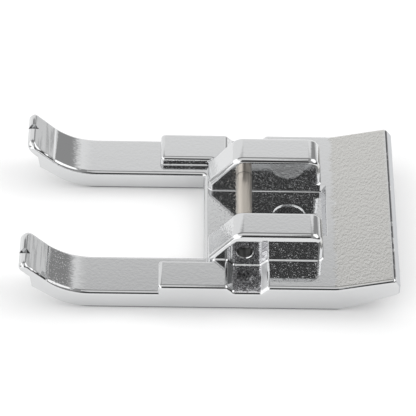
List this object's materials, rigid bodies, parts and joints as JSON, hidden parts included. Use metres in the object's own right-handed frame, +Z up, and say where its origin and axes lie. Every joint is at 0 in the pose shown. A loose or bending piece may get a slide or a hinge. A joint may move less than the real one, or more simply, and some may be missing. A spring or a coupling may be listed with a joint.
{
  "type": "sewing machine presser foot",
  "caption": "Chrome-plated open-toe clip-on presser foot: upturned toes beside a needle opening, a cross pin held between ears, and a lifted heel.",
  "frame": {"origin": "middle of the foot's footprint, on the flat sole that meets the cloth", "axes": "+X from the toe tips to the heel, +Y across the foot along the cross pin, +Z up from the sole"},
  "size_m": [0.0366, 0.0214, 0.0063],
  "materials": {
    "plated_casting": "bright chrome plate over a zinc casting, with a fine cast grain on the ears and in the channel",
    "pin_steel": "bright drawn steel, left unplated"
  },
  "bodies": {
    "root": {"foot_body": "plated_casting", "cross_pin": "pin_steel"}
  },
  "joints": []
}
